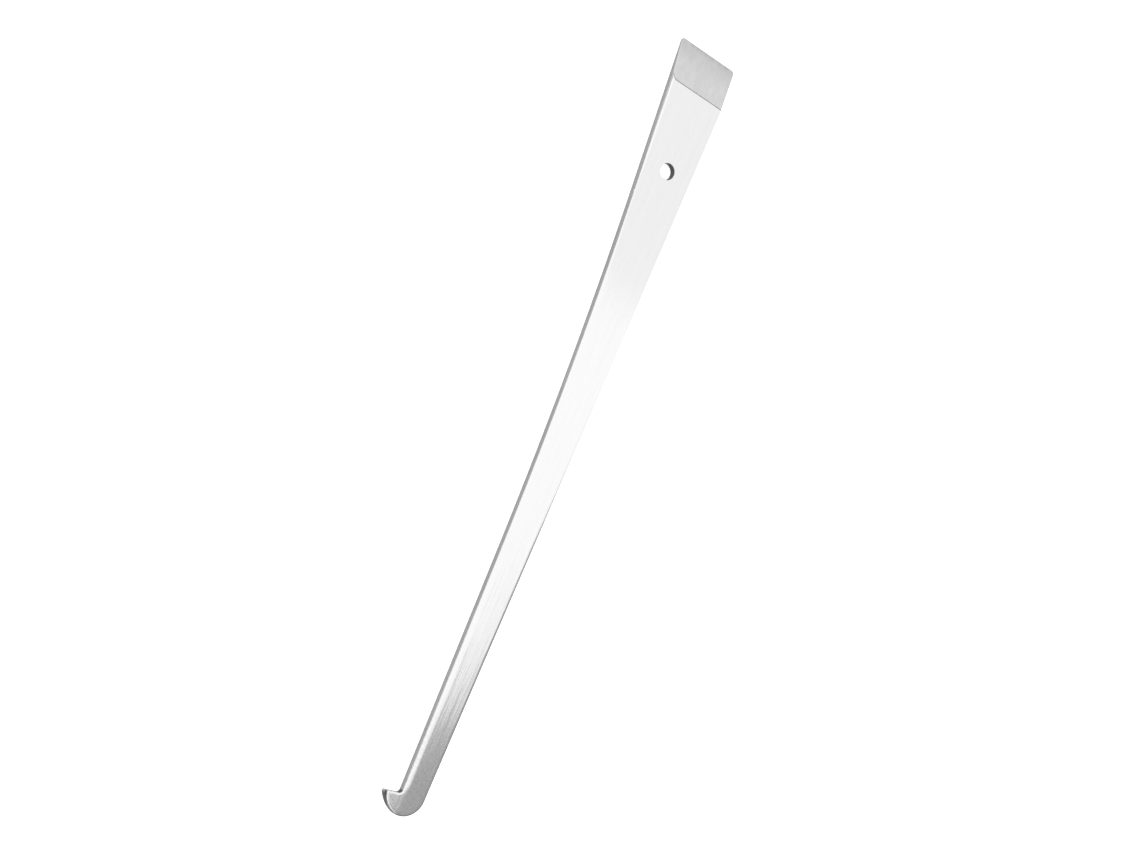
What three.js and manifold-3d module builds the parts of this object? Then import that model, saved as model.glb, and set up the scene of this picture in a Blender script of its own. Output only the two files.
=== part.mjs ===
// Hooked flat pry bar: one plate of stainless steel bar stock, cut to its outline, drilled for
// hanging and ground to a chisel edge at the wide end. Millimetres.
// The bar lies on its back: +X points to the chisel edge, +Y to the side of the hook's lip,
// +Z out of the ground face. The origin is under the middle of the bounding box.

import * as THREE from 'three';
import { mergeVertices } from 'three/addons/utils/BufferGeometryUtils.js';
import Module from 'manifold-3d';

// The plate
const LENGTH = 305;
const THICKNESS = 3;
const EDGE_BREAK = 0.2;

// The blade, at +X
const BLADE_WIDTH = 26.5;
const BLADE_CORNER_RADIUS = 1.3;
const GRIND_LENGTH = 17;
const CHISEL_EDGE_THICKNESS = 0.5;

// The spine is the straight edge at -Y. The other edge flares from the shank to the blade.
const FLARE_ANGLE = THREE.MathUtils.degToRad(5.5);
const SHANK_TAPER_ANGLE = THREE.MathUtils.degToRad(1.45);
const FLARE_BEND_FROM_BLADE = 132.5;
const FLARE_BEND_RADIUS = 2000;

// The hanging hole, midway between the two edges
const HOLE_DIAMETER = 6.35;
const HOLE_FROM_BLADE = 49;

// The hook, at -X: a round heel, a tight nose, a long-radius lip and a filleted throat
const HEEL_RADIUS = 7.9;
const NOSE_RADIUS = 3.5;
const NOSE_START_ANGLE = THREE.MathUtils.degToRad(176);
const LIP_RADIUS = 12.7;
const LIP_START_ANGLE = THREE.MathUtils.degToRad(160);
const LIP_TIP_ROUNDING = 0.8;
const THROAT_FROM_END = 7.5;
const THROAT_FILLET_RADIUS = 1.2;
const THROAT_TILT = THREE.MathUtils.degToRad(8.5);

const ARC_DIVISIONS = 10;
const HOLE_ARCS = 3;

// Edges and stations that follow from the driving dimensions
const BLADE_X = LENGTH / 2;
const HOOK_END_X = -LENGTH / 2;
const SPINE_Y = -BLADE_WIDTH / 2;
const BEND_X = BLADE_X - FLARE_BEND_FROM_BLADE;

// Rounding the flared corner trims it, so the flare aims this much wider than the blade.
const CORNER_TRIM = BLADE_CORNER_RADIUS * (Math.tan(FLARE_ANGLE) + 1 / Math.cos(FLARE_ANGLE) - 1);
const BEND_Y = BLADE_WIDTH / 2 + CORNER_TRIM - FLARE_BEND_FROM_BLADE * Math.tan(FLARE_ANGLE);

function polar(centre, radius, angle) {
  return new THREE.Vector2(
    centre.x + radius * Math.cos(angle),
    centre.y + radius * Math.sin(angle),
  );
}

// Height of the flared edge's two straight stretches, extended to any x.
function flareLineY(x) {
  return BEND_Y + (x - BEND_X) * Math.tan(FLARE_ANGLE);
}

function shankLineY(x) {
  return BEND_Y + (x - BEND_X) * Math.tan(SHANK_TAPER_ANGLE);
}

// The square corner at the spine and the wider-angled one at the flared edge.
function addBladeCorners(shape) {
  const radius = BLADE_CORNER_RADIUS;
  shape.lineTo(BLADE_X - radius, SPINE_Y);
  shape.absarc(BLADE_X - radius, SPINE_Y + radius, radius, -Math.PI / 2, 0, false);
  const cornerX = BLADE_X - radius;
  const cornerY = flareLineY(cornerX) - radius / Math.cos(FLARE_ANGLE);
  shape.lineTo(BLADE_X, cornerY);
  shape.absarc(cornerX, cornerY, radius, 0, Math.PI / 2 + FLARE_ANGLE, false);
}

// One long arc, tangent to the flare and to the shank, eases the bend between them.
function addFlareBend(shape) {
  const halfTurn = (FLARE_ANGLE - SHANK_TAPER_ANGLE) / 2;
  const tangentLength = FLARE_BEND_RADIUS * Math.tan(halfTurn);
  const start = new THREE.Vector2(
    BEND_X + tangentLength * Math.cos(FLARE_ANGLE),
    BEND_Y + tangentLength * Math.sin(FLARE_ANGLE),
  );
  const centre = polar(start, FLARE_BEND_RADIUS, FLARE_ANGLE + Math.PI / 2);
  const startAngle = FLARE_ANGLE - Math.PI / 2;
  const endAngle = SHANK_TAPER_ANGLE - Math.PI / 2;
  shape.lineTo(start.x, start.y);
  shape.absarc(centre.x, centre.y, FLARE_BEND_RADIUS, startAngle, endAngle, true);
}

// The throat's fillet, then the lip's inner edge, which leans back from the blade.
// Returns a point of that edge and its direction towards the lip's tip.
function addThroat(shape) {
  const radius = THROAT_FILLET_RADIUS;
  const centreX = HOOK_END_X + THROAT_FROM_END + radius;
  const centreY = shankLineY(centreX) + radius / Math.cos(SHANK_TAPER_ANGLE);
  const centre = new THREE.Vector2(centreX, centreY);
  const startAngle = SHANK_TAPER_ANGLE - Math.PI / 2;
  const endAngle = THROAT_TILT - Math.PI;
  const start = polar(centre, radius, startAngle);
  shape.lineTo(start.x, start.y);
  shape.absarc(centre.x, centre.y, radius, startAngle, endAngle, true);
  return {
    point: polar(centre, radius, endAngle),
    direction: new THREE.Vector2(-Math.sin(THROAT_TILT), Math.cos(THROAT_TILT)),
  };
}

// Distance along a ray to where it leaves a circle that it starts inside.
function exitDistance(point, direction, centre, radius) {
  const offset = point.clone().sub(centre);
  const along = offset.dot(direction);
  return -along + Math.sqrt(along * along + radius * radius - offset.lengthSq());
}

// Heel, nose and lip are three arcs, each tangent to the next.
function hookArcCentres() {
  const heel = new THREE.Vector2(HOOK_END_X + HEEL_RADIUS, SPINE_Y + HEEL_RADIUS);
  const nose = polar(heel, HEEL_RADIUS - NOSE_RADIUS, NOSE_START_ANGLE);
  const lip = polar(nose, NOSE_RADIUS - LIP_RADIUS, LIP_START_ANGLE);
  return { heel, nose, lip };
}

function addHook(shape, throat) {
  const { heel, nose, lip } = hookArcCentres();
  const lipEdge = exitDistance(throat.point, throat.direction, lip, LIP_RADIUS);
  const tip = throat.point.clone().addScaledVector(throat.direction, lipEdge);
  const beforeTip = tip.clone().addScaledVector(throat.direction, -LIP_TIP_ROUNDING);
  const tipAngle = Math.atan2(tip.y - lip.y, tip.x - lip.x);
  const afterTipAngle = tipAngle + LIP_TIP_ROUNDING / LIP_RADIUS;
  const afterTip = polar(lip, LIP_RADIUS, afterTipAngle);
  shape.lineTo(beforeTip.x, beforeTip.y);
  shape.quadraticCurveTo(tip.x, tip.y, afterTip.x, afterTip.y);
  shape.absarc(lip.x, lip.y, LIP_RADIUS, afterTipAngle, LIP_START_ANGLE, false);
  shape.absarc(nose.x, nose.y, NOSE_RADIUS, LIP_START_ANGLE, NOSE_START_ANGLE, false);
  shape.absarc(heel.x, heel.y, HEEL_RADIUS, NOSE_START_ANGLE, Math.PI * 3 / 2, false);
}

function hangingHole() {
  const x = BLADE_X - HOLE_FROM_BLADE;
  const y = (flareLineY(x) + SPINE_Y) / 2;
  const sweep = Math.PI * 2 / HOLE_ARCS;
  const path = new THREE.Path();
  for (let i = 0; i < HOLE_ARCS; i += 1) {
    path.absarc(x, y, HOLE_DIAMETER / 2, i * sweep, (i + 1) * sweep, false);
  }
  return path;
}

function outline() {
  const shape = new THREE.Shape();
  shape.moveTo(HOOK_END_X + HEEL_RADIUS, SPINE_Y);
  addBladeCorners(shape);
  addFlareBend(shape);
  const throat = addThroat(shape);
  addHook(shape, throat);
  shape.holes.push(hangingHole());
  return shape;
}

// The outline at full size at mid-thickness, with every edge broken by EDGE_BREAK.
function plateGeometry() {
  const geometry = new THREE.ExtrudeGeometry(outline(), {
    depth: THICKNESS - 2 * EDGE_BREAK,
    curveSegments: ARC_DIVISIONS,
    bevelEnabled: true,
    bevelThickness: EDGE_BREAK,
    bevelSize: EDGE_BREAK,
    bevelOffset: -EDGE_BREAK,
    bevelSegments: 2,
  });
  geometry.translate(0, 0, EDGE_BREAK);
  return geometry;
}

// What the grinder takes off: a wedge above a plane that falls from the full thickness at the
// crease to the chisel edge's thickness at the tip.
function grindGeometry() {
  const margin = 5;
  const fall = (THICKNESS - CHISEL_EDGE_THICKNESS) / GRIND_LENGTH;
  const creaseX = BLADE_X - GRIND_LENGTH;
  const side = new THREE.Shape();
  side.moveTo(creaseX - margin, THICKNESS + fall * margin);
  side.lineTo(BLADE_X + margin, CHISEL_EDGE_THICKNESS - fall * margin);
  side.lineTo(BLADE_X + margin, THICKNESS + margin);
  side.lineTo(creaseX - margin, THICKNESS + margin);
  side.closePath();
  const width = BLADE_WIDTH + 2 * margin;
  const geometry = new THREE.ExtrudeGeometry(side, { depth: width, bevelEnabled: false });
  geometry.rotateX(Math.PI / 2);
  geometry.translate(0, width / 2, 0);
  return geometry;
}

const wasm = await Module();
wasm.setup();

function toSolid(geometry) {
  geometry.deleteAttribute('normal');
  geometry.deleteAttribute('uv');
  const merged = mergeVertices(geometry);
  return new wasm.Manifold(new wasm.Mesh({
    numProp: 3,
    vertProperties: new Float32Array(merged.attributes.position.array),
    triVerts: new Uint32Array(merged.index.array),
  }));
}

function toGeometry(solid) {
  const mesh = solid.getMesh();
  const geometry = new THREE.BufferGeometry();
  geometry.setAttribute('position', new THREE.BufferAttribute(mesh.vertProperties, 3));
  geometry.setIndex(new THREE.BufferAttribute(mesh.triVerts, 1));
  geometry.computeVertexNormals();
  return geometry;
}

function pryBar() {
  const solid = toSolid(plateGeometry()).subtract(toSolid(grindGeometry()));
  const brushedStainless = new THREE.MeshStandardMaterial({
    color: 0xd2d3d4,
    metalness: 1,
    roughness: 0.34,
    flatShading: true,
  });
  const mesh = new THREE.Mesh(toGeometry(solid), brushedStainless);
  mesh.name = 'pry_bar';
  return mesh;
}

const group = new THREE.Group();
group.add(pryBar());

export default group;
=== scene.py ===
import math

import bpy
import numpy as np
from bpy.props import FloatProperty, FloatVectorProperty, PointerProperty
from bpy.types import Operator, Panel, PropertyGroup
from mathutils import Matrix, Vector
from mathutils.geometry import delaunay_2d_cdt


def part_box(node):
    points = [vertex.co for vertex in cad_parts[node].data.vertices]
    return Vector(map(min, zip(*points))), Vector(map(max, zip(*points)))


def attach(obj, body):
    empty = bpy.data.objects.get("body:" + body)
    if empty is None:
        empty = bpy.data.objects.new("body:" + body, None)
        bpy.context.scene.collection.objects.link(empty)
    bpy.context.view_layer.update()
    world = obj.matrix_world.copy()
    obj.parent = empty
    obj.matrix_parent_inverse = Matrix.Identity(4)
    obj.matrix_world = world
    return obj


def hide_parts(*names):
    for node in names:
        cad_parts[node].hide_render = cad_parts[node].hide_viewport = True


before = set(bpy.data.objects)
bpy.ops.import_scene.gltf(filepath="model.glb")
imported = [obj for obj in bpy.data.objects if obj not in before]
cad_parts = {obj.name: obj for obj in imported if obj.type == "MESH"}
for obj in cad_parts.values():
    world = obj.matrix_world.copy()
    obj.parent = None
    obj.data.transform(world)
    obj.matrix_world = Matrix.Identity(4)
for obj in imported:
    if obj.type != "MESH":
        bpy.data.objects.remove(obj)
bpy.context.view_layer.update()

bl_info = {
    "name": "Hooked Pry Bar",
    "version": (1, 0, 0),
    "blender": (4, 5, 0),
    "location": "3D View > Sidebar > Pry Bar",
    "description": "A flat hooked pry bar of brushed stainless steel, on a pale studio floor",
    "category": "Object",
}

BAR_NODE = "pry_bar"
BAR_PIECE = "pry_bar_brushed"
UV_NAME = "steel_uv"

BAR_LOW, BAR_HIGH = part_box(BAR_NODE)
MM = 0.001


def distance(name, description, default):
    return FloatProperty(
        name=name, description=description, default=default,
        precision=5, subtype="DISTANCE", unit="LENGTH",
    )


def angle(name, description, degrees):
    return FloatProperty(
        name=name, description=description, default=math.radians(degrees),
        precision=4, subtype="ANGLE", unit="ROTATION",
    )


def share(name, description, default):
    return FloatProperty(
        name=name, description=description, default=default,
        min=0.0, max=1.0, subtype="FACTOR",
    )


def colour(name, description, default):
    return FloatVectorProperty(
        name=name, description=description, default=default,
        size=3, min=0.0, max=1.0, subtype="COLOR",
    )


class BarSizes(PropertyGroup):
    """The bar's outline and the shape of its worked edges."""

    length: distance("Length", "Hook to chisel edge", BAR_HIGH.x - BAR_LOW.x)
    blade_width: distance("Blade width", "Width at the chisel edge", BAR_HIGH.y - BAR_LOW.y)
    thickness: distance("Thickness", "Thickness of the bar stock", BAR_HIGH.z - BAR_LOW.z)
    blade_corner: distance("Blade corner radius", "Rounding of the blade's two corners", 1.3 * MM)
    grind_length: distance("Grind length", "From the crease to the chisel edge", 17 * MM)
    chisel_edge: distance("Chisel edge", "Thickness left at the chisel edge", 0.5 * MM)
    crease_step: distance("Crease step", "How far the grinder bites in at the crease", 0.2 * MM)
    crease_width: distance("Crease width", "Length of that step along the bar", 0.45 * MM)
    curl_width: distance("Crease curl width", "Where the crease starts to curl at the flare", 2.2 * MM)
    curl_reach: distance("Crease curl reach", "How far it curls towards the chisel edge", 1.4 * MM)
    tip_width: distance("Tip bevel width", "Second, steeper bevel at the chisel edge", 0.2 * MM)
    tip_slope: angle("Tip bevel slope", "Extra lean of that bevel", 13)

    flare_angle: angle("Flare angle", "Lean of the flared edge by the blade", 5.5)
    taper_angle: angle("Shank taper", "Lean of the same edge along the shank", 1.45)
    bend_from_blade: distance("Bend from blade", "Chisel edge to the flare's bend", 132.5 * MM)
    bend_radius: distance("Bend radius", "Radius that eases the flare's bend", 2.0)

    hole_diameter: distance("Hole diameter", "Diameter of the hanging hole", 6.35 * MM)
    hole_from_blade: distance("Hole from blade", "Chisel edge to the hole's centre", 49 * MM)

    heel_radius: distance("Heel radius", "Radius of the hook's heel", 7.9 * MM)
    nose_radius: distance("Nose radius", "Radius of the hook's nose", 3.5 * MM)
    nose_start: angle("Nose start", "Where the heel turns into the nose", 176)
    lip_radius: distance("Lip radius", "Radius of the lip's outer side", 12.7 * MM)
    lip_start: angle("Lip start", "Where the nose turns into the lip", 160)
    lip_tip: distance("Lip tip rounding", "Trim of the lip's point", 0.8 * MM)
    throat_from_end: distance("Throat from end", "Hook end to the throat", 7.5 * MM)
    throat_fillet: distance("Throat fillet", "Radius at the bottom of the throat", 1.2 * MM)
    throat_tilt: angle("Throat tilt", "Lean of the lip's inner edge", 8.5)

    edge_round_blade: distance("Edge rounding, blade", "Rounding of the edges by the blade", 0.09 * MM)
    edge_round_hook: distance("Edge rounding, hook", "Rounding of the edges by the hook", 0.12 * MM)
    band_width: distance("Band width", "Strip along the flared edge that the buffing rolls over", 2.3 * MM)
    band_ease: distance("Band ease", "How softly that strip begins", 2.0 * MM)
    band_slope: angle("Band slope", "Lean of that strip at the edge", 8)
    lip_slope: angle("Lip slope", "Lean of the lip's face", 1.5)
    spine_width: distance("Spine roll width", "Strip along the spine that rolls over", 1.1 * MM)
    spine_slope: angle("Spine roll slope", "Lean of that strip at the edge", 11)
    arris_width: distance("Blade arris width", "Worn strip at the flared edge by the crease", 0.95 * MM)
    arris_drop: distance("Blade arris drop", "Depth of that wear at the edge", 0.3 * MM)
    rim_width: distance("Rim width", "Narrow rim along the flared edge and round the lip", 0.5 * MM)
    rim_slope: angle("Rim slope", "Extra lean of that rim at the edge", 18)


class SteelFinish(PropertyGroup):
    """Colours and gloss of the four finishes. The two wall colours also hold painted shade."""

    face_colour: colour("Face colour", "Brushed face", (0.86, 0.86, 0.86))
    ground_colour: colour("Grind colour", "Ground chisel face", (0.77, 0.77, 0.775))
    # Painted shade: the two wall colours are darkened beyond the steel's own dull sheared or cut finish, the
    # cut walls in the throat, the hole and round the hook most.
    edge_colour_with_painted_shade: colour("Edge colour", "Sheared straight edges", (0.36, 0.36, 0.36))
    cut_colour_with_painted_shade: colour("Cut colour", "Hook, throat and hole walls, left as cut", (0.062, 0.062, 0.062))
    face_roughness: share("Face roughness", "Brushed face", 0.10)
    ground_roughness: share("Grind roughness", "Ground chisel face", 0.24)
    edge_roughness: share("Edge roughness", "Sheared straight edges", 0.36)
    cut_roughness: share("Cut roughness", "Walls left as cut", 0.45)


class StageSettings(PropertyGroup):
    """Floor, lights and camera."""

    floor_colour: colour("Floor colour", "Pale floor", (0.95, 0.95, 0.95))
    floor_glow: share("Floor glow", "Light that the lit floor gives off", 0.75)
    floor_size: distance("Floor size", "Side of the square floor", 12.0)
    room_colour: colour("Room colour", "Soft light from the room's walls", (0.385, 0.385, 0.385))
    look_at: FloatVectorProperty(
        name="Look at", description="Point that the camera aims at",
        default=(-0.0017, -0.0056, 0.003), size=3, subtype="TRANSLATION", unit="LENGTH",
    )
    camera_distance: distance("Camera distance", "Camera to the point it aims at", 0.715)
    camera_azimuth: angle("Camera azimuth", "Round from +X towards +Y", 108.5)
    camera_elevation: angle("Camera elevation", "Up from the floor", 59.47)
    camera_roll: angle("Camera roll", "Turn about the camera's own axis", 97.27)
    camera_lens: FloatProperty(
        name="Lens", description="Focal length on a 36 mm wide sensor, in millimetres",
        default=61.58, min=1.0,
    )
    camera_shift: FloatVectorProperty(
        name="Shift", description="Lens shift, as a share of the sensor's width",
        default=(0.00483, 0.00203), size=2, precision=5,
    )


# ---------------------------------------------------------------------------------------------
# The outline


def polar(centre, radius, turn):
    return centre + radius * Vector((math.cos(turn), math.sin(turn)))


SHORTEST_STEP = 0.02 * MM
LARGE_RADIUS = 0.1
WIDEST_TURN = math.radians(6)


class Run:
    """Points round a closed outline, with the steel on the left of travel.

    Each point carries the direction that faces out of the steel, and whether the wall there was
    left as cut (1) or dressed straight (0).
    """

    def __init__(self):
        self.points = []
        self.outward = []
        self.cut = []

    def add(self, point, outward, cut):
        self.points.append(point)
        self.outward.append(outward)
        self.cut.append(cut)

    def line(self, start, end, spacing, stations=(), cut=0):
        along = end - start
        count = max(1, math.ceil(along.length / spacing))
        shares = [i / count for i in range(count)]
        if abs(along.x) > spacing:
            shares += [(x - start.x) / along.x for x in stations]
        outward = Vector((along.y, -along.x)).normalized()
        last = -1.0
        for t in sorted(t for t in shares if 0 <= t < 1):
            if (t - last) * along.length > SHORTEST_STEP:
                self.add(start + along * t, outward, cut)
                last = t

    def arc(self, centre, radius, start, end, spacing, cut=0):
        turn = end - start
        count = math.ceil(abs(turn) * radius / spacing)
        if radius <= LARGE_RADIUS:
            count = max(4, count, math.ceil(abs(turn) / WIDEST_TURN))
        facing = 1 if turn > 0 else -1
        for i in range(count):
            ray = polar(Vector((0, 0)), 1, start + turn * i / count)
            self.add(centre + ray * radius, ray * facing, cut)


class BarShape:
    """Lines and stations that follow from the driving sizes."""

    def __init__(self, s):
        self.s = s
        self.blade_x = s.length / 2
        self.hook_x = -s.length / 2
        self.spine_y = -s.blade_width / 2
        self.crease_x = self.blade_x - s.grind_length
        self.bend_x = self.blade_x - s.bend_from_blade
        trim = s.blade_corner * (math.tan(s.flare_angle) + 1 / math.cos(s.flare_angle) - 1)
        self.bend_y = s.blade_width / 2 + trim - s.bend_from_blade * math.tan(s.flare_angle)
        self.tangent = s.bend_radius * math.tan((s.flare_angle - s.taper_angle) / 2)
        self.bend_start = Vector((
            self.bend_x + self.tangent * math.cos(s.flare_angle),
            self.bend_y + self.tangent * math.sin(s.flare_angle),
        ))
        self.bend_centre = polar(self.bend_start, s.bend_radius, s.flare_angle + math.pi / 2)
        self.bend_end = polar(self.bend_centre, s.bend_radius, s.taper_angle - math.pi / 2)
        self.heel = Vector((self.hook_x + s.heel_radius, self.spine_y + s.heel_radius))
        self.nose = polar(self.heel, s.heel_radius - s.nose_radius, s.nose_start)
        self.lip = polar(self.nose, s.nose_radius - s.lip_radius, s.lip_start)
        hole_x = self.blade_x - s.hole_from_blade
        self.hole = Vector((hole_x, (self.flare_line(hole_x) + self.spine_y) / 2))

    def flare_line(self, x):
        return self.bend_y + (x - self.bend_x) * math.tan(self.s.flare_angle)

    def shank_line(self, x):
        return self.bend_y + (x - self.bend_x) * math.tan(self.s.taper_angle)

    def left_edge(self, x):
        """The flared edge at x, with the shank's line running straight on through the hook."""
        x = np.asarray(x, float)
        inside = np.clip(x - self.bend_centre.x, -0.5, 0.5)
        bend = self.bend_centre.y - np.sqrt(self.s.bend_radius ** 2 - inside ** 2)
        line = np.where(x > self.bend_start.x, self.flare_line(x), self.shank_line(x))
        return np.where((x < self.bend_start.x) & (x > self.bend_end.x), bend, line)

    def from_spine(self, x, y):
        """Depth inside the spine's edge, and inside the heel where the spine ends."""
        round_heel = self.s.heel_radius - np.hypot(x - self.heel.x, y - self.heel.y)
        return np.where(x > self.heel.x, y - self.spine_y, round_heel)

    def edge_round(self, x):
        s = self.s
        t = np.clip((x - self.hook_x) / s.length, 0, 1)
        return s.edge_round_hook + (s.edge_round_blade - s.edge_round_hook) * t

    def crease_stations(self):
        """Places along both long edges where the outline needs points for the crease."""
        first = self.crease_x - 0.9 * MM
        fine = [first + i * 0.3 * MM for i in range(15)]
        return fine + [self.crease_x + self.s.crease_width]

    def outline(self):
        s = self.s
        run = Run()
        step = 0.75 * MM
        fine_step = 0.15 * MM
        hook_step = 0.3 * MM
        corner = s.blade_corner
        stations = self.crease_stations()

        # Spine, spine corner, chisel edge, flared corner
        run.line(Vector((self.heel.x, self.spine_y)),
                 Vector((self.blade_x - corner, self.spine_y)), step, stations)
        run.arc(Vector((self.blade_x - corner, self.spine_y + corner)), corner,
                -math.pi / 2, 0, fine_step)
        centre = Vector((self.blade_x - corner, 0))
        centre.y = self.flare_line(centre.x) - corner / math.cos(s.flare_angle)
        run.line(Vector((self.blade_x, self.spine_y + corner)),
                 Vector((self.blade_x, centre.y)), step)
        run.arc(centre, corner, 0, math.pi / 2 + s.flare_angle, fine_step)

        # Flared edge, its eased bend, the shank
        flare_start = polar(centre, corner, math.pi / 2 + s.flare_angle)
        run.line(flare_start, self.bend_start, step, stations)
        run.arc(self.bend_centre, s.bend_radius, s.flare_angle - math.pi / 2,
                s.taper_angle - math.pi / 2, step)
        fillet = Vector((self.hook_x + s.throat_from_end + s.throat_fillet, 0))
        fillet.y = self.shank_line(fillet.x) + s.throat_fillet / math.cos(s.taper_angle)
        fillet_start = s.taper_angle - math.pi / 2
        fillet_end = s.throat_tilt - math.pi
        run.line(self.bend_end, polar(fillet, s.throat_fillet, fillet_start), step)

        # Throat and the lip's inner edge
        run.arc(fillet, s.throat_fillet, fillet_start, fillet_end, fine_step, cut=1)
        root = polar(fillet, s.throat_fillet, fillet_end)
        rise = Vector((-math.sin(s.throat_tilt), math.cos(s.throat_tilt)))
        offset = root - self.lip
        along = offset.dot(rise)
        reach = -along + math.sqrt(along ** 2 + s.lip_radius ** 2 - offset.length_squared)
        tip = root + rise * reach

        # The tip is a small arc that touches the inner edge and the lip's outer side
        tip_turn = math.atan2(tip.y - self.lip.y, tip.x - self.lip.x)
        side = polar(Vector((0, 0)), 1, tip_turn + math.pi / 2)
        half = (math.pi - rise.angle(side)) / 2
        radius = s.lip_tip * math.tan(half)
        before = tip - rise * s.lip_tip
        run.line(root, before, 0.5 * MM)
        outward = Vector((rise.y, -rise.x))
        centre = before - outward * radius
        start = math.atan2(outward.y, outward.x)
        after = tip_turn + s.lip_tip / s.lip_radius
        run.arc(centre, radius, start, after, 0.06 * MM)
        run.arc(self.lip, s.lip_radius, after, s.lip_start, hook_step, cut=1)
        run.arc(self.nose, s.nose_radius, s.lip_start, s.nose_start, fine_step, cut=1)
        run.arc(self.heel, s.heel_radius, s.nose_start, math.pi * 1.5, hook_step, cut=1)
        return run

    def hole_run(self):
        run = Run()
        run.arc(self.hole, self.s.hole_diameter / 2, 0, -math.tau, 0.2 * MM, cut=1)
        return run


# ---------------------------------------------------------------------------------------------
# The blank: a closed plate at full thickness, before it is ground

# A narrow flat strip is held beside each rounding, so that the shading doesn't run past it
HOLD = 0.06 * MM
ROUND_STEPS = 5
WALL_SHARES = (0.25, 0.5, 0.75)
FRONT_CLEARANCE = 0.32 * MM
BACK_CLEARANCE = 0.5 * MM
CREASE_ROW_POINTS = 46
CREASE_ROW_END = 2.5 * MM


def edge_distance(points, runs):
    """Distance from each point to the nearest outline."""
    best = np.full(len(points), np.inf)
    for run in runs:
        a = np.array(run.points, float)
        b = np.roll(a, -1, axis=0)
        ab = b - a
        square = (ab ** 2).sum(1)
        for first in range(0, len(points), 2000):
            p = points[first:first + 2000, None, :] - a[None]
            t = np.clip((p * ab[None]).sum(2) / square, 0, 1)
            gap = np.linalg.norm(p - t[..., None] * ab[None], axis=2).min(1)
            best[first:first + 2000] = np.minimum(best[first:first + 2000], gap)
    return best


def inside_loop(points, loop):
    """Which points lie inside a closed loop of corners."""
    inside = np.zeros(len(points), bool)
    for (ax, ay), (bx, by) in zip(loop, np.roll(loop, -1, axis=0)):
        if ay == by:
            continue
        crosses = (ay > points[:, 1]) != (by > points[:, 1])
        reach = ax + (points[:, 1] - ay) * (bx - ax) / (by - ay)
        inside ^= crosses & (points[:, 0] < reach)
    return inside


def face_points(shape, fine):
    """Points spread over the face, in rows that follow the spine and the flared edge.

    The hook gets a plain grid. The front face is finer, and finest by the crease at the flare.
    """
    s = shape.s
    rows = []
    split_x = shape.hook_x + 13.5 * MM
    if fine:
        left = np.array([0.42, 0.6, 0.8, 1.0, 1.25, 1.5, 1.75, 2.0, 2.25, 2.5, 2.75, 3.1, 3.6]) * MM
        right = np.array([0.42, 0.56, 0.7, 0.85, 1.0, 1.15, 1.4, 1.9, 2.7]) * MM
        spacing = 0.75 * MM
        grid = 0.4 * MM
    else:
        left = np.array([0.6, 2.0, 4.0]) * MM
        right = left
        spacing = 4 * MM
        grid = 1.5 * MM
    middle = 5 if fine else 2
    xs = np.arange(split_x, shape.blade_x - 0.4 * MM, spacing)
    near = np.abs(xs - shape.crease_x) < 1.6 * MM
    xs = xs[~near] if fine else xs
    for x in xs:
        top = float(shape.left_edge(x))
        ys = list(top - left) + list(shape.spine_y + right)
        low = shape.spine_y + right[-1]
        high = top - left[-1]
        ys += [low + (high - low) * (i + 1) / (middle + 1) for i in range(middle)]
        rows += [(x, y) for y in ys]
    for x in np.arange(shape.hook_x, split_x - grid / 2, grid):
        rows += [(x, y) for y in np.arange(shape.spine_y, 4 * MM, grid)]
    if fine:
        ring_points = 40
        ring_radius = s.hole_diameter / 2 + 0.7 * MM
        for i in range(ring_points):
            rows.append(tuple(polar(shape.hole, ring_radius, math.tau * i / ring_points)))
        dense = 0.13
        for x in np.arange(shape.crease_x - 1.2 * MM, shape.crease_x + 4 * MM, dense * MM):
            top = float(shape.left_edge(x))
            rows += [(x, top - depth) for depth in np.arange(0.25, 2.35, dense) * MM]
    return np.array(rows)


def crease_rows(shape):
    """Rows just before, on and just after both edges of the crease, as constrained edges."""
    s = shape.s
    points = []
    edges = []
    stops = [-0.8 * MM, -HOLD, 0, HOLD, s.crease_width - HOLD, s.crease_width,
             s.crease_width + HOLD, 1.1 * MM]
    for stop in stops:
        x = shape.crease_x + stop
        low = shape.spine_y + 0.45 * MM
        high = float(shape.left_edge(x)) - CREASE_ROW_END
        first = len(points)
        for i in range(CREASE_ROW_POINTS + 1):
            points.append((x, low + (high - low) * i / CREASE_ROW_POINTS))
        edges += [(first + i, first + i + 1) for i in range(CREASE_ROW_POINTS)]
    return np.array(points), edges


def fill_face(loops, loose, rows, row_edges):
    """Triangles over the face inside its outer ring and outside the hole's ring.

    Gives all points, the rings' first, and the triangles as indices into them.
    """
    edges = []
    first = 0
    for loop in loops:
        count = len(loop)
        edges += [(first + i, first + (i + 1) % count) for i in range(count)]
        first += count
    edges += [(first + a, first + b) for a, b in row_edges]
    points = np.concatenate([*loops, rows, loose])
    flat = [Vector(point) for point in points / MM]
    made = delaunay_2d_cdt(flat, edges, [], 1, 1e-6, True)
    if len(made[0]) != len(points):
        raise RuntimeError("the face's rings and rows cross each other")
    origin = [ids[0] for ids in made[3]]
    triangles = np.array([[origin[i] for i in triangle] for triangle in made[2]])
    flat = np.array(flat, float)
    middles = flat[triangles].mean(axis=1)
    outer = flat[:len(loops[0])]
    hole = flat[len(loops[0]):len(loops[0]) + len(loops[1])]
    inside = inside_loop(middles, outer) & ~inside_loop(middles, hole)
    return points, triangles[inside].tolist()


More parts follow.
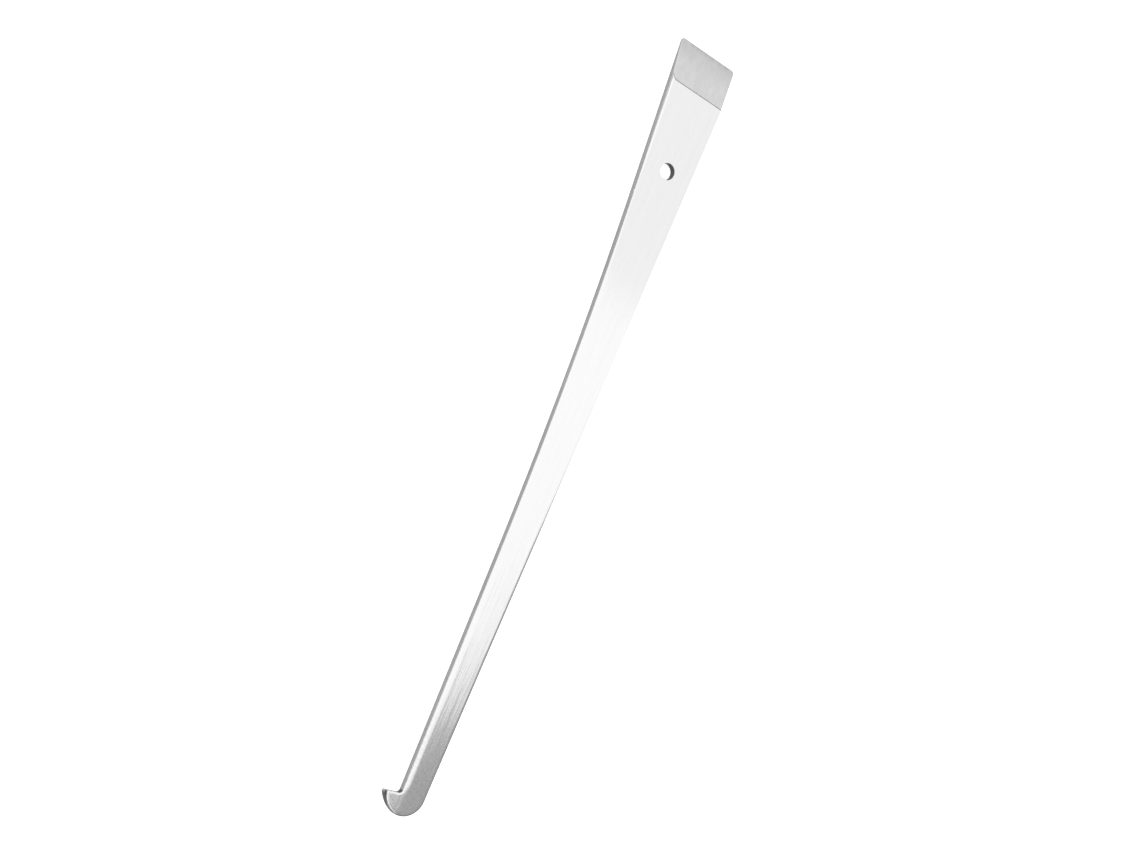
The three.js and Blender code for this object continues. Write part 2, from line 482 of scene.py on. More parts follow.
class Blank:
    """Vertices, faces, UVs and the fields that the grinding reads."""

    def __init__(self, shape):
        self.shape = shape
        self.co = []
        self.upper = []
        self.edge = []
        self.faces = []
        self.uvs = []
        self.finish = []

    def levels(self):
        """The wall's section, from the back face round to the front, as (kind, value) pairs.

        Value is the turn so far on the two roundings, and a share of the thickness elsewhere.
        """
        turns = [math.pi / 2 * i / (ROUND_STEPS - 1) for i in range(ROUND_STEPS)]
        section = [("hold", 0.0)]
        section += [("low", t) for t in turns]
        section += [("wall_low", 0.0)]
        section += [("wall", share) for share in WALL_SHARES]
        section += [("wall_high", 1.0)]
        section += [("high", t) for t in turns]
        section += [("hold", 1.0)]
        return section

    def add_walls(self, run):
        """Rings from the back face, round the edge, up the wall and over to the front face."""
        thickness = self.shape.s.thickness
        base = np.array(run.points, float)
        out = np.array(run.outward, float)
        count = len(base)
        r = self.shape.edge_round(base[:, 0])
        along = np.concatenate([[0], np.cumsum(np.linalg.norm(np.roll(base, -1, 0) - base, axis=1))])
        first_ring = len(self.co)
        heights = []
        kinds = self.levels()
        for kind, value in kinds:
            zero = np.zeros(count)
            if kind == "hold":
                inset, z, upper, edge = r + HOLD, zero + value * thickness, value, r + HOLD
            elif kind == "low":
                inset, z, upper, edge = r * (1 - math.sin(value)), r * (1 - math.cos(value)), 0, zero
            elif kind == "wall_low":
                inset, z, upper, edge = zero, r + HOLD, 0, r + HOLD
            elif kind == "wall":
                low, high = r + HOLD, thickness - r - HOLD
                inset, z, upper = zero, low + (high - low) * value, value
                edge = zero + min(value, 1 - value) * thickness
            elif kind == "wall_high":
                inset, z, upper, edge = zero, thickness - r - HOLD, 1, r + HOLD
            else:
                inset = r * (1 - math.cos(value))
                z = thickness - r + r * math.sin(value)
                upper, edge = 1, zero
            ring = base - out * inset[:, None]
            self.co += [(x, y, h) for (x, y), h in zip(ring, z)]
            self.upper += [upper] * count
            self.edge += list(edge)
            heights.append(z)
        for level in range(len(kinds) - 1):
            wall = kinds[level][0] in ("low", "wall_low", "wall", "wall_high")
            for i in range(count):
                j = (i + 1) % count
                a = first_ring + level * count
                b = a + count
                self.faces.append((a + i, a + j, b + j, b + i))
                low, high = heights[level], heights[level + 1]
                self.uvs += [(along[i], low[i]), (along[i + 1], low[j]),
                             (along[i + 1], high[j]), (along[i], high[i])]
                self.finish.append((2 if run.cut[i] else 1) if wall else 0)
        last_ring = first_ring + (len(kinds) - 1) * count
        return (first_ring, count), (last_ring, count)

    def add_face(self, rings, runs, front):
        shape = self.shape
        loops = [np.array(self.co[a:a + n])[:, :2] for a, n in rings]
        known = [i for a, n in rings for i in range(a, a + n)]
        loose = face_points(shape, front)
        gap = edge_distance(loose, runs)
        clear = gap > (FRONT_CLEARANCE if front else BACK_CLEARANCE)
        keep = clear & inside_loop(loose, loops[0]) & ~inside_loop(loose, loops[1])
        if front:
            near_rows = (loose[:, 0] > shape.crease_x - 1.0 * MM) & (
                loose[:, 0] < shape.crease_x + 1.4 * MM)
            deep = shape.left_edge(loose[:, 0]) - loose[:, 1] > 2.4 * MM
            keep &= ~(near_rows & deep)
            rows, row_edges = crease_rows(shape)
        else:
            rows, row_edges = np.zeros((0, 2)), []
        loose = loose[keep]
        points, triangles = fill_face(loops, loose, rows, row_edges)
        fresh = points[len(known):]
        height = shape.s.thickness if front else 0.0
        index = known + list(range(len(self.co), len(self.co) + len(fresh)))
        self.co += [(x, y, height) for x, y in fresh]
        self.upper += [1.0 if front else 0.0] * len(fresh)
        self.edge += list(edge_distance(fresh, runs))
        for triangle in triangles:
            corners = triangle if front else triangle[::-1]
            self.faces.append(tuple(index[i] for i in corners))
            self.uvs += [tuple(points[i]) for i in corners]
            self.finish.append(0)

    def to_object(self, name):
        mesh = bpy.data.meshes.new(name)
        mesh.from_pydata(self.co, [], self.faces)
        co = np.array(self.co)
        left = self.shape.left_edge(co[:, 0]) - co[:, 1]
        spine = self.shape.from_spine(co[:, 0], co[:, 1])
        fields = {"upper": self.upper, "edge_distance": self.edge,
                  "from_left": left, "from_spine": spine}
        for field, values in fields.items():
            attribute = mesh.attributes.new(field, "FLOAT", "POINT")
            attribute.data.foreach_set("value", np.array(values, np.float32))
        finish = mesh.attributes.new("finish", "INT", "FACE")
        finish.data.foreach_set("value", np.array(self.finish, np.int32))
        layer = mesh.uv_layers.new(name=UV_NAME)
        layer.data.foreach_set("uv", np.array(self.uvs, np.float32).ravel())
        mesh.shade_smooth()
        if mesh.validate():
            raise RuntimeError("the blank has faces that don't belong")
        piece = bpy.data.objects.new(name, mesh)
        bpy.context.scene.collection.objects.link(piece)
        return piece


def cut_blank(shape):
    blank = Blank(shape)
    runs = [shape.outline(), shape.hole_run()]
    rings = [blank.add_walls(run) for run in runs]
    blank.add_face([low for low, high in rings], runs, front=False)
    blank.add_face([high for low, high in rings], runs, front=True)
    return blank.to_object(BAR_PIECE)


# ---------------------------------------------------------------------------------------------
# Node trees


class Nodes:
    """Adds nodes to a tree and joins them, so that a formula reads in order."""

    def __init__(self, tree):
        self.tree = tree
        self.column = 0

    def add(self, kind, inputs=(), **settings):
        node = self.tree.nodes.new(kind)
        node.location = (self.column * 180, -(self.column % 5) * 160)
        self.column += 1
        for key, value in settings.items():
            setattr(node, key, value)
        items = inputs.items() if isinstance(inputs, dict) else enumerate(inputs)
        for key, value in items:
            self.feed(node.inputs[key], value)
        return node

    def feed(self, socket, value):
        if isinstance(value, bpy.types.NodeSocket):
            self.tree.links.new(value, socket)
        elif value is not None:
            socket.default_value = value

    def math(self, operation, *values, clamp=False):
        return self.add("ShaderNodeMath", values, operation=operation, use_clamp=clamp).outputs[0]

    def span(self, value, low, high, start=0.0, end=1.0, smooth=True):
        """Value carried from the span low..high to start..end, and held outside it."""
        node = self.add("ShaderNodeMapRange", interpolation_type="SMOOTHSTEP" if smooth else "LINEAR")
        for socket, given in zip(node.inputs, (value, low, high, start, end)):
            self.feed(socket, given)
        return node.outputs[0]


def new_tree(name, kind, inputs, outputs):
    tree = bpy.data.node_groups.new(name, kind)
    for way, sockets in (("INPUT", inputs), ("OUTPUT", outputs)):
        for label, (socket_type, default) in sockets.items():
            socket = tree.interface.new_socket(name=label, in_out=way, socket_type=socket_type)
            if default is not None:
                socket.default_value = default
    nodes = Nodes(tree)
    start = nodes.add("NodeGroupInput")
    end = nodes.add("NodeGroupOutput")
    return tree, nodes, start.outputs, end.inputs


FLOAT = "NodeSocketFloat"
VECTOR = "NodeSocketVector"
GEOMETRY = "NodeSocketGeometry"
MATERIAL = "NodeSocketMaterial"

GRIND_INPUTS = (
    "Crease X", "Fall", "Crease Width", "Crease Step", "Curl Width", "Curl Reach",
    "Tip X", "Tip Slope",
    "Band Width", "Band Ease", "Band Slope", "Lip Slope", "Spine Width", "Spine Slope",
    "Arris Width", "Arris Drop", "Rim Width", "Rim Slope",
)
FINISH_NAMES = ("Face", "Ground", "Edge", "Cut")


def grinding_tree():
    """Lowers the blank's front face to the ground and buffed shape, then gives out the finishes."""
    inputs = {"Geometry": (GEOMETRY, None)}
    inputs.update({label: (FLOAT, 0.0) for label in GRIND_INPUTS})
    inputs.update({label: (MATERIAL, None) for label in FINISH_NAMES})
    tree, n, given, result = new_tree(
        "grind_and_ease", "GeometryNodeTree", inputs, {"Geometry": (GEOMETRY, None)})

    def field(name, data_type="FLOAT"):
        node = n.add("GeometryNodeInputNamedAttribute", data_type=data_type)
        node.inputs["Name"].default_value = name
        return node.outputs["Attribute"]

    place = n.add("ShaderNodeSeparateXYZ", [n.add("GeometryNodeInputPosition").outputs[0]]).outputs
    from_left = field("from_left")
    from_spine = field("from_spine")

    # The grinder: a short step at the crease, one plane down to the chisel edge, and a second,
    # narrow bevel at the edge itself. The crease curls towards the chisel edge at the flare.
    past = n.math("MAXIMUM", n.math("SUBTRACT", place["X"], given["Crease X"]), 0.0)
    curl = n.math("SUBTRACT", 1.0, n.math("DIVIDE", from_left, given["Curl Width"]), clamp=True)
    curl = n.math("MULTIPLY", n.math("MULTIPLY", curl, curl), given["Curl Reach"])
    steep = n.math("DIVIDE", given["Crease Step"], given["Crease Width"])
    step = n.math("MAXIMUM", n.math("SUBTRACT", past, curl), 0.0)
    step = n.math("MULTIPLY", step, n.math("ADD", steep, given["Fall"]))
    plane = n.math("ADD", given["Crease Step"], n.math("MULTIPLY", past, given["Fall"]))
    ground = n.math("MINIMUM", step, plane)
    tip = n.math("MAXIMUM", n.math("SUBTRACT", place["X"], given["Tip X"]), 0.0)
    ground = n.math("ADD", ground, n.math("MULTIPLY", tip, given["Tip Slope"]))

    # The buffed band along the flared edge: wide by the hook, narrow by the blade. Past the
    # throat the same line runs on over the lip, where the face leans less.
    width = n.math("MULTIPLY", given["Band Width"], n.span(place["X"], 20 * MM, 118 * MM, 1.0, 0.3))
    slope = n.span(place["X"], -145.5 * MM, -139.5 * MM, given["Lip Slope"], given["Band Slope"])
    slope = n.math("MULTIPLY", slope, n.span(place["X"], 20 * MM, 118 * MM, 1.0, 0.5))
    into = n.math("MAXIMUM", n.math("SUBTRACT", width, from_left), 0.0)
    eased = n.math("MINIMUM", into, given["Band Ease"])
    curve = n.math("DIVIDE", n.math("MULTIPLY", eased, eased), n.math("MULTIPLY", given["Band Ease"], 2.0))
    band = n.math("MULTIPLY", slope, n.math("ADD", curve, n.math("SUBTRACT", into, eased)))

    # The spine's edge rolls over more and more towards the hook
    inside = n.math("MAXIMUM", n.math("SUBTRACT", given["Spine Width"], from_spine), 0.0)
    roll = n.math("DIVIDE", n.math("MULTIPLY", inside, inside), n.math("MULTIPLY", given["Spine Width"], 2.0))
    roll = n.math("MULTIPLY", roll, given["Spine Slope"])
    roll = n.math("MULTIPLY", roll, n.span(place["X"], -95 * MM, 40 * MM, 1.0, 0.0))

    # Wear on the flared edge by the crease
    worn = n.math("SUBTRACT", 1.0, n.math("DIVIDE", from_left, given["Arris Width"]), clamp=True)
    worn = n.math("MULTIPLY", n.math("MULTIPLY", worn, worn), given["Arris Drop"])
    worn = n.math("MULTIPLY", worn, n.span(place["X"], 90 * MM, 130 * MM))

    # A narrow rim, on the grind too: along the whole flared edge and round the throat and lip
    def rim_depth(depth_inside):
        inner = n.math("MAXIMUM", n.math("SUBTRACT", given["Rim Width"], depth_inside), 0.0)
        square = n.math("MULTIPLY", inner, inner)
        lean = n.math("DIVIDE", square, n.math("MULTIPLY", given["Rim Width"], 2.0))
        return n.math("MULTIPLY", lean, given["Rim Slope"])

    by_lip = n.math("MULTIPLY", n.span(place["X"], -142 * MM, -137 * MM, 1.0, 0.0),
                    n.span(place["Y"], -6 * MM, -3 * MM))
    rim = n.math("MULTIPLY", rim_depth(field("edge_distance")), by_lip)
    rim = n.math("ADD", rim, n.math(
        "MULTIPLY", rim_depth(n.math("ABSOLUTE", from_left)), n.math("SUBTRACT", 1.0, by_lip)))
    rim = n.math("MULTIPLY", rim, n.span(place["X"], 146 * MM, 151 * MM, 1.0, 0.0))

    buffed = n.math("ADD", n.math("ADD", band, roll), worn)
    depth = n.math("ADD", n.math("MAXIMUM", ground, buffed), rim)
    depth = n.math("MULTIPLY", depth, field("upper"))
    drop = n.add("ShaderNodeCombineXYZ", {"Z": n.math("MULTIPLY", depth, -1.0)}).outputs[0]
    moved = n.add("GeometryNodeSetPosition", {"Geometry": given["Geometry"], "Offset": drop})

    # Finishes: the face everywhere, then the ground part, the dressed edges and the cut walls
    finish = field("finish", "INT")
    on_ground = n.math("MULTIPLY", n.math("GREATER_THAN", ground, buffed), field("upper"))

    def is_finish(number):
        node = n.add("FunctionNodeCompare", data_type="INT", operation="EQUAL")
        n.feed(node.inputs[2], finish)
        node.inputs[3].default_value = number
        return node.outputs[0]

    ground_part = n.add("FunctionNodeBooleanMath",
                        [n.math("GREATER_THAN", on_ground, 0.5), is_finish(0)], operation="AND")
    selections = (True, ground_part.outputs[0], is_finish(1), is_finish(2))
    metal = n.add("GeometryNodeRealizeInstances", [moved.outputs[0]]).outputs[0]
    for label, selection in zip(FINISH_NAMES, selections):
        metal = n.add("GeometryNodeSetMaterial", {
            "Geometry": metal, "Selection": selection, "Material": given[label],
        }).outputs[0]
    n.feed(result["Geometry"], metal)
    return tree


def grind_blank(piece, shape, materials):
    """Runs the grinding tree on the blank and keeps its result as a plain mesh."""
    s = shape.s
    tree = grinding_tree()
    fall = (s.thickness - s.chisel_edge - s.crease_step) / s.grind_length
    values = {
        "Crease X": shape.crease_x, "Fall": fall, "Crease Width": s.crease_width,
        "Crease Step": s.crease_step, "Curl Width": s.curl_width, "Curl Reach": s.curl_reach,
        "Tip X": shape.blade_x - s.tip_width,
        "Tip Slope": math.tan(s.tip_slope), "Band Width": s.band_width, "Band Ease": s.band_ease,
        "Band Slope": math.tan(s.band_slope), "Lip Slope": math.tan(s.lip_slope),
        "Spine Width": s.spine_width, "Spine Slope": math.tan(s.spine_slope),
        "Arris Width": s.arris_width, "Arris Drop": s.arris_drop,
        "Rim Width": s.rim_width, "Rim Slope": math.tan(s.rim_slope),
    }
    values.update(zip(FINISH_NAMES, materials))
    modifier = piece.modifiers.new("grind_and_ease", "NODES")
    modifier.node_group = tree
    for item in tree.interface.items_tree:
        if item.in_out == "INPUT" and item.name in values:
            modifier[item.identifier] = values[item.name]
    graph = bpy.context.evaluated_depsgraph_get()
    blank = piece.data
    piece.data = bpy.data.meshes.new_from_object(
        piece.evaluated_get(graph), preserve_all_data_layers=True, depsgraph=graph)
    piece.modifiers.clear()
    bpy.data.meshes.remove(blank)
    piece.data.name = BAR_PIECE


# ---------------------------------------------------------------------------------------------
# Steel finishes


def grain_group():
    """Fine lines drawn out along the first axis of the given coordinates."""
    tree, n, given, result = new_tree("drawn_grain", "ShaderNodeTree", {
        "Vector": (VECTOR, None), "Lines per Metre": (FLOAT, 3000.0), "Draw": (FLOAT, 60.0),
        "Seed": (FLOAT, 0.0),
    }, {"Lines": (FLOAT, None)})
    lines = given["Lines per Metre"]
    scale = n.add("ShaderNodeCombineXYZ", [n.math("DIVIDE", lines, given["Draw"]), lines, lines])
    stretched = n.add("ShaderNodeVectorMath", [given["Vector"], scale.outputs[0]], operation="MULTIPLY")
    noise = n.add("ShaderNodeTexNoise", noise_dimensions="4D")
    n.feed(noise.inputs["Vector"], stretched.outputs[0])
    n.feed(noise.inputs["W"], given["Seed"])
    noise.inputs["Scale"].default_value = 1.0
    noise.inputs["Detail"].default_value = 3.0
    noise.inputs["Roughness"].default_value = 0.6
    n.feed(result["Lines"], n.span(noise.outputs[0], 0.25, 0.75, smooth=False))
    return tree


def wear_group():
    """A broken line of wear within a given width of the nearest edge."""
    tree, n, given, result = new_tree("edge_wear", "ShaderNodeTree", {
        "Vector": (VECTOR, None), "Distance": (FLOAT, 1.0), "Width": (FLOAT, 0.0005),
        "Break-up": (FLOAT, 700.0),
    }, {"Mask": (FLOAT, None)})
    noise = n.add("ShaderNodeTexNoise")
    n.feed(noise.inputs["Vector"], given["Vector"])
    n.feed(noise.inputs["Scale"], given["Break-up"])
    noise.inputs["Detail"].default_value = 3.0
    reach = n.math("MULTIPLY", given["Width"], n.span(noise.outputs[0], 0.3, 0.7, 0.35, 1.3))
    n.feed(result["Mask"], n.math("SUBTRACT", 1.0, n.span(given["Distance"], 0.0, reach)))
    return tree


def smudge_group():
    """Broad soft patches, as left by hands and a cloth."""
    tree, n, given, result = new_tree("soft_smudges", "ShaderNodeTree", {
        "Vector": (VECTOR, None), "Scale": (FLOAT, 40.0),
    }, {"Mask": (FLOAT, None)})
    noise = n.add("ShaderNodeTexNoise")
    n.feed(noise.inputs["Vector"], given["Vector"])
    n.feed(noise.inputs["Scale"], given["Scale"])
    noise.inputs["Detail"].default_value = 2.0
    noise.inputs["Distortion"].default_value = 0.6
    n.feed(result["Mask"], n.span(noise.outputs[0], 0.35, 0.7))
    return tree


def pit_group():
    """Small scattered pits, more of them where the given amount is higher."""
    tree, n, given, result = new_tree("small_pits", "ShaderNodeTree", {
        "Vector": (VECTOR, None), "Scale": (FLOAT, 1500.0), "Amount": (FLOAT, 0.1),
    }, {"Mask": (FLOAT, None)})
    cells = n.add("ShaderNodeTexVoronoi", feature="F1")
    n.feed(cells.inputs["Vector"], given["Vector"])
    n.feed(cells.inputs["Scale"], given["Scale"])
    pick = n.add("ShaderNodeSeparateColor", [cells.outputs["Color"]]).outputs[0]
    chosen = n.math("LESS_THAN", pick, given["Amount"])
    round_pit = n.span(cells.outputs["Distance"], 0.15, 0.5, 1.0, 0.0)
    n.feed(result["Mask"], n.math("MULTIPLY", chosen, round_pit))
    return tree


class Steel:
    """One finish: the shared effects, mixed by its own values into one Principled shader."""

    def __init__(self, groups, name, roughness, anisotropy, on_surface):
        self.groups = groups
        self.material = bpy.data.materials.new(name)
        self.material.use_nodes = True
        tree = self.material.node_tree
        tree.nodes.clear()
        self.n = n = Nodes(tree)
        coordinates = n.add("ShaderNodeTexCoord")
        self.where = coordinates.outputs["Object"]
        if on_surface:
            self.along = n.add("ShaderNodeUVMap", uv_map=UV_NAME).outputs[0]
        else:
            self.along = self.where
        self.edge = n.add("ShaderNodeAttribute", attribute_name="edge_distance").outputs["Fac"]
        self.shader = n.add("ShaderNodeBsdfPrincipled")
        self.shader.inputs["Metallic"].default_value = 1.0
        self.shader.inputs["Anisotropic"].default_value = anisotropy
        self.shader.inputs["Anisotropic Rotation"].default_value = 0.25
        tangent = n.add("ShaderNodeTangent", direction_type="UV_MAP", uv_map=UV_NAME)
        n.feed(self.shader.inputs["Tangent"], tangent.outputs[0])
        output = n.add("ShaderNodeOutputMaterial")
        n.feed(output.inputs["Surface"], self.shader.outputs[0])
        self.roughness = roughness

    def group(self, name, **inputs):
        node = self.n.add("ShaderNodeGroup", node_tree=self.groups[name])
        for label, value in inputs.items():
            self.n.feed(node.inputs[label.replace("_", " ")], value)
        return node.outputs[0]

    def lines(self, per_metre, draw, seed):
        node = self.n.add("ShaderNodeGroup", node_tree=self.groups["drawn_grain"])
        self.n.feed(node.inputs["Vector"], self.along)
        node.inputs["Lines per Metre"].default_value = per_metre
        node.inputs["Draw"].default_value = draw
        node.inputs["Seed"].default_value = seed
        return node.outputs[0]

    def wear(self, width):
        return self.group("edge_wear", Vector=self.where, Distance=self.edge, Width=width)

    def tint(self, base, amounts):
        """Base colour brightened or darkened by masks: (mask, what it is multiplied by at 1)."""
        value = (*base, 1.0)
        for mask, factor in amounts:
            node = self.n.add("ShaderNodeMix", data_type="RGBA", blend_type="MIX")
            self.n.feed(node.inputs["Factor"], mask)
            self.n.feed(node.inputs[6], value)
            shade = self.n.add("ShaderNodeMix", data_type="RGBA", blend_type="MULTIPLY")
            shade.inputs["Factor"].default_value = 1.0
            self.n.feed(shade.inputs[6], value)
            shade.inputs[7].default_value = (factor, factor, factor, 1.0)
            self.n.feed(node.inputs[7], shade.outputs[2])
            value = node.outputs[2]
        self.n.feed(self.shader.inputs["Base Color"], value)

    def gloss(self, amounts):
        """Roughness raised or lowered by masks: (mask, change at 1)."""
        value = self.roughness
        for mask, change in amounts:
            value = self.n.math("ADD", value, self.n.math("MULTIPLY", mask, change))
        self.n.feed(self.shader.inputs["Roughness"], self.n.math("MAXIMUM", value, 0.05))

    def relief(self, amounts):
        """Bump from masks: (mask, height in metres at 1)."""
        value = 0.0
        for mask, height in amounts:
            value = self.n.math("ADD", value, self.n.math("MULTIPLY", mask, height / MM))
        bump = self.n.add("ShaderNodeBump", {"Strength": 1.0, "Distance": MM, "Height": value})
        self.n.feed(self.shader.inputs["Normal"], bump.outputs[0])


def make_finishes(finish):
    groups = {
        "drawn_grain": grain_group(),
        "edge_wear": wear_group(),
        "soft_smudges": smudge_group(),
        "small_pits": pit_group(),
    }

    face = Steel(groups, "brushed_face", finish.face_roughness, 0.6, on_surface=False)
    fine = face.lines(5200, 90, 1)
    streaks = face.lines(1100, 32, 2)
    broad = face.lines(480, 18, 3)
    smudges = face.group("soft_smudges", Vector=face.where)
    speckle = face.group("soft_smudges", Vector=face.where, Scale=1000.0)
    wear = face.wear(0.35 * MM)
    where = face.n.add("ShaderNodeSeparateXYZ", [face.where]).outputs
    near_lip = face.n.span(where["Y"], -2.0 * MM, 1.5 * MM)
    near_lip = face.n.math("MULTIPLY", near_lip, face.n.span(where["X"], -145 * MM, -142 * MM, 1.0, 0.0))
    near_lip = face.n.math("MULTIPLY", near_lip, face.n.span(face.edge, 0.55 * MM, 0.7 * MM))
    amount = face.n.math("MULTIPLY", near_lip, 0.45)
    pits = face.group("small_pits", Vector=face.where, Scale=1100.0, Amount=amount)
    # Painted shade: the face is darkened in a thin line by the spine on the hook's half, round the heel, and
    # in speckles on the hook. Its relief fades over the hook and past the middle.
    spine = face.n.add("ShaderNodeAttribute", attribute_name="from_spine").outputs["Fac"]
    # Painted shade along the spine's edge
    shade = face.n.span(spine, 0.12 * MM, 0.4 * MM, 1.0, 0.0)
    shade = face.n.math("MULTIPLY", shade, face.n.span(where["X"], -142 * MM, 0.0, 1.0, 0.0))
    on_shank = face.n.span(where["X"], -140 * MM, -100 * MM, 0.25, 1.0)
    on_shank = face.n.math("MULTIPLY", on_shank, face.n.span(where["X"], -60 * MM, 0.0, 1.0, 0.5))
    # Speckled tone, painted darker on the hook: painted shade for the hook's dimmer reflection
    painted_hook_shade = face.n.math("MULTIPLY", speckle, face.n.span(where["X"], -128 * MM, -100 * MM, 1.0, 0.1))
    # Painted shade round the heel
    painted_heel_shade = face.n.math("MULTIPLY", face.n.span(spine, 0.15 * MM, 0.5 * MM, 1.0, 0.0),
                          face.n.span(where["X"], -146 * MM, -140 * MM, 1.0, 0.0))
    face.tint(finish.face_colour, [(fine, 0.965), (streaks, 0.98), (broad, 0.985), (painted_hook_shade, 0.9),
                                   (shade, 0.35), (painted_heel_shade, 0.5), (pits, 0.4)])
    face.gloss([(fine, 0.02), (streaks, 0.02), (smudges, 0.01), (wear, 0.02), (pits, 0.3)])
    streaks = face.n.math("MULTIPLY", streaks, on_shank)
    broad = face.n.math("MULTIPLY", broad, on_shank)
    face.relief([(fine, 1.5e-6), (streaks, 10e-6), (broad, 16e-6), (pits, -12e-6)])

    ground = Steel(groups, "ground_bevel", finish.ground_roughness, 0.4, on_surface=False)
    fine = ground.lines(4200, 60, 11)
    streaks = ground.lines(1200, 26, 12)
    broad = ground.lines(450, 9, 13)
    smudges = ground.group("soft_smudges", Vector=ground.where, Scale=110.0)
    where = ground.n.add("ShaderNodeSeparateXYZ", [ground.where]).outputs
    # Painted shade: the grind is darkened towards the chisel edge, and made a little rougher there
    toward_edge = ground.n.span(where["X"], 141 * MM, 152.5 * MM)
    wear = ground.wear(0.3 * MM)
    ground.tint(finish.ground_colour, [(fine, 0.93), (streaks, 0.92), (broad, 0.96), (smudges, 0.95),
                                       (toward_edge, 0.9), (wear, 1.05)])
    ground.gloss([(fine, 0.04), (streaks, 0.05), (toward_edge, 0.02)])
    ground.relief([(fine, 1.5e-6), (streaks, 8e-6), (broad, 10e-6)])

    edge = Steel(groups, "sheared_edge_and_painted_shade", finish.edge_roughness, 0.3, on_surface=True)
    fine = edge.lines(5000, 40, 21)
    streaks = edge.lines(1400, 60, 22)
    patches = edge.lines(900, 4, 23)
    wear = edge.wear(0.45 * MM)
    # Painted shade: the sheared walls are darker than their dull finish alone would make them
    edge.tint(finish.edge_colour_with_painted_shade, [(fine, 0.88), (streaks, 0.82), (patches, 0.93), (wear, 0.8)])
    edge.gloss([(fine, 0.06), (streaks, 0.06), (wear, -0.05)])
    edge.relief([(fine, 3e-6), (streaks, 7e-6), (patches, 6e-6)])

    cut = Steel(groups, "cut_wall_and_painted_shade", finish.cut_roughness, 0.0, on_surface=True)
    fine = cut.lines(4000, 12, 31)
    streaks = cut.lines(1500, 20, 32)
    smudges = cut.group("soft_smudges", Vector=cut.where, Scale=260.0)
    wear = cut.wear(0.4 * MM)
    # Painted shade: the cut walls are darkened almost to black for the shade in the throat, the hole and
    # round the hook
    cut.tint(finish.cut_colour_with_painted_shade, [(fine, 0.85), (streaks, 0.85), (smudges, 1.35), (wear, 1.6)])
    cut.gloss([(fine, 0.08), (smudges, -0.06)])
    cut.relief([(fine, 5e-6), (streaks, 8e-6)])
    return [face.material, ground.material, edge.material, cut.material]


# ---------------------------------------------------------------------------------------------
# Stage


def make_floor(settings):
    half = settings.floor_size / 2
    drop = -0.1 * MM
    mesh = bpy.data.meshes.new("studio_floor")
    corners = [(-half, -half, drop), (half, -half, drop), (half, half, drop), (-half, half, drop)]
    mesh.from_pydata(corners, [], [(0, 1, 2, 3)])
    floor = bpy.data.objects.new("studio_floor", mesh)
    bpy.context.scene.collection.objects.link(floor)
    material = bpy.data.materials.new("pale_floor")
    material.use_nodes = True
    shader = material.node_tree.nodes["Principled BSDF"]
    shader.inputs["Base Color"].default_value = (*settings.floor_colour, 1.0)
    shader.inputs["Roughness"].default_value = 0.9
    shader.inputs["Specular IOR Level"].default_value = 0.2
    shader.inputs["Emission Color"].default_value = (1.0, 1.0, 1.0, 1.0)
    shader.inputs["Emission Strength"].default_value = settings.floor_glow
    mesh.materials.append(material)


def make_room(settings):
    """Soft light from the room. Looked at directly, past the floor, the backdrop is white."""
    world = bpy.data.worlds.new("studio_room")
    world.use_nodes = True
    tree = world.node_tree
    tree.nodes.clear()
    n = Nodes(tree)
    room = n.add("ShaderNodeBackground", [(*settings.room_colour, 1.0), 1.0])
    backdrop = n.add("ShaderNodeBackground", [(1.0, 1.0, 1.0, 1.0), 1.0])
    seen = n.add("ShaderNodeLightPath").outputs["Is Camera Ray"]
    mix = n.add("ShaderNodeMixShader", [seen, room.outputs[0], backdrop.outputs[0]])
    output = n.add("ShaderNodeOutputWorld")
    n.feed(output.inputs["Surface"], mix.outputs[0])
    bpy.context.scene.world = world


def add_softbox(name, centre, size, brightness, turn=0.0):
    """A rectangular softbox that faces the floor. Its power follows from brightness and area."""
    light = bpy.data.lights.new(name, "AREA")
    light.shape = "RECTANGLE"
    light.size, light.size_y = size
    light.energy = brightness * math.pi * size[0] * size[1]
    lamp = bpy.data.objects.new(name, light)
    lamp.location = centre
    facing = Vector((0, 0, -1)).to_track_quat("-Z", "Y").to_matrix()
    lamp.rotation_euler = (facing @ Matrix.Rotation(turn, 3, "Z")).to_euler()
    lamp.visible_camera = False
    bpy.context.scene.collection.objects.link(lamp)


def make_lights():
    """One large softbox for the blade and shank, two weak ones over it, and one for the hook."""
    add_softbox("overhead_softbox", (0.487, -0.233, 1.0), (2.1, 1.3), 0.655, math.radians(-45))
    add_softbox("centre_softbox", (0.11, -0.56, 1.01), (0.44, 0.3), 0.13)
    add_softbox("side_softbox", (0.15, 0.09, 1.02), (1.3, 0.98), 0.13)
    add_softbox("hook_softbox", (-0.75, -0.08, 1.0), (0.7, 0.7), 0.6)


def make_camera(settings):
    level = math.cos(settings.camera_elevation)
    back = Vector((
        level * math.cos(settings.camera_azimuth),
        level * math.sin(settings.camera_azimuth),
        math.sin(settings.camera_elevation),
    ))
    flat_right = Vector((0, 0, 1)).cross(back).normalized()
    flat_up = back.cross(flat_right)
    turn = settings.camera_roll
    right = flat_right * math.cos(turn) + flat_up * math.sin(turn)
    up = back.cross(right)
    data = bpy.data.cameras.new("studio_camera")
    data.sensor_width = 36.0
    data.lens = settings.camera_lens
    data.shift_x, data.shift_y = settings.camera_shift
    data.clip_start = 0.01
    data.clip_end = 50.0
    camera = bpy.data.objects.new("studio_camera", data)
    pose = Matrix((right, up, back)).transposed().to_4x4()
    pose.translation = Vector(settings.look_at) + back * settings.camera_distance
    camera.matrix_world = pose
    bpy.context.scene.collection.objects.link(camera)
    bpy.context.scene.camera = camera


# ---------------------------------------------------------------------------------------------
# Operators, panel and registration


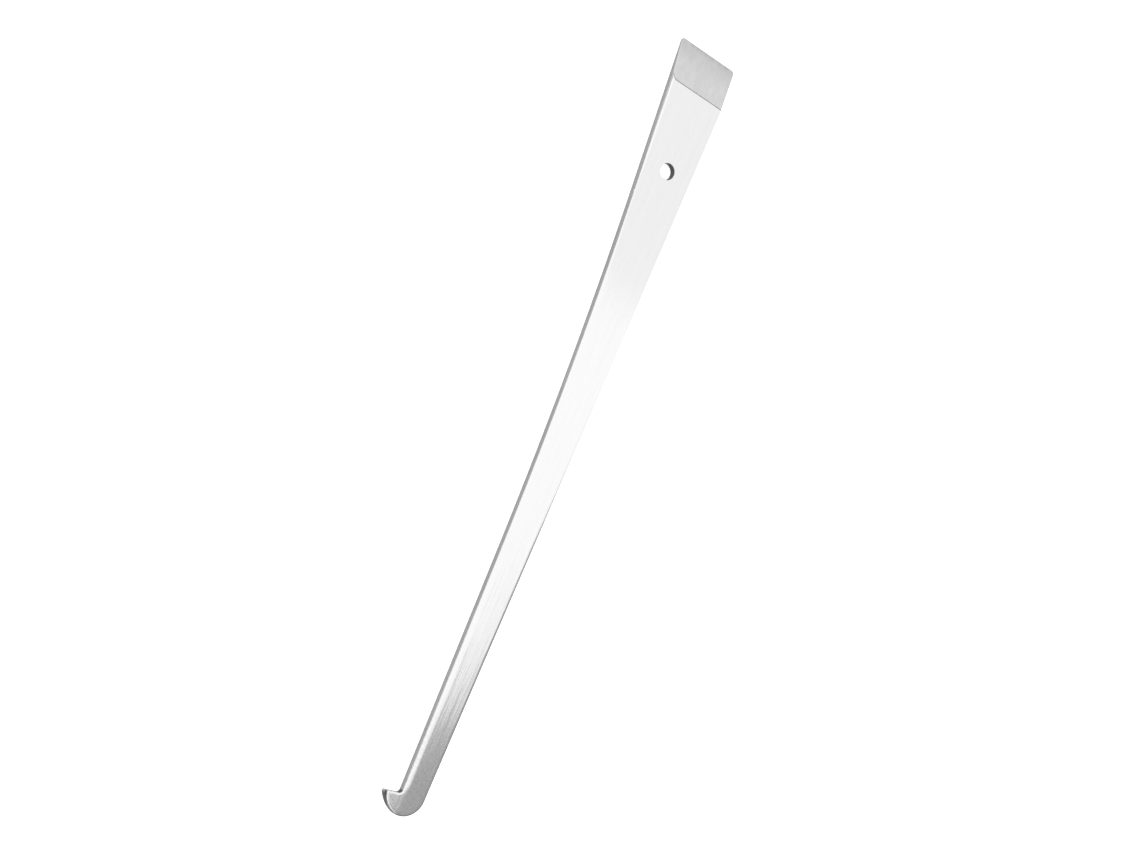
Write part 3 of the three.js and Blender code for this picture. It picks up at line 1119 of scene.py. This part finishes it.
class PRYBAR_OT_stage(Operator):
    """Set out the pale floor, the soft lights and the camera"""

    bl_idname = "prybar.stage"
    bl_label = "Stage"

    def execute(self, context):
        settings = context.scene.pry_bar_stage
        make_camera(settings)
        make_floor(settings)
        make_room(settings)
        make_lights()
        context.scene.view_settings.view_transform = "Standard"
        return {"FINISHED"}


class PRYBAR_OT_bar(Operator):
    """Cut the bar's blank, grind and buff it, and give it its finishes"""

    bl_idname = "prybar.bar"
    bl_label = "Pry Bar"

    def execute(self, context):
        shape = BarShape(context.scene.pry_bar_sizes)
        materials = make_finishes(context.scene.pry_bar_finish)
        piece = cut_blank(shape)
        grind_blank(piece, shape, materials)
        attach(piece, "root")
        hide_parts(BAR_NODE)
        return {"FINISHED"}


class PRYBAR_PT_panel(Panel):
    """Sizes, finishes and stage of the pry bar"""

    bl_idname = "PRYBAR_PT_panel"
    bl_label = "Pry Bar"
    bl_space_type = "VIEW_3D"
    bl_region_type = "UI"
    bl_category = "Pry Bar"

    def draw(self, context):
        scene = context.scene
        for operator in (PRYBAR_OT_stage, PRYBAR_OT_bar):
            self.layout.operator(operator.bl_idname)
        for group in (scene.pry_bar_sizes, scene.pry_bar_finish, scene.pry_bar_stage):
            box = self.layout.box()
            for name in group.bl_rna.properties.keys():
                if name not in ("rna_type", "name"):
                    box.prop(group, name)


CLASSES = (BarSizes, SteelFinish, StageSettings, PRYBAR_OT_stage, PRYBAR_OT_bar, PRYBAR_PT_panel)


def register():
    for item in CLASSES:
        bpy.utils.register_class(item)
    bpy.types.Scene.pry_bar_sizes = PointerProperty(type=BarSizes)
    bpy.types.Scene.pry_bar_finish = PointerProperty(type=SteelFinish)
    bpy.types.Scene.pry_bar_stage = PointerProperty(type=StageSettings)


def unregister():
    del bpy.types.Scene.pry_bar_stage
    del bpy.types.Scene.pry_bar_finish
    del bpy.types.Scene.pry_bar_sizes
    for item in reversed(CLASSES):
        bpy.utils.unregister_class(item)


def main():
    register()
    bpy.ops.prybar.stage()
    bpy.ops.prybar.bar()


if __name__ == "__main__":
    main()
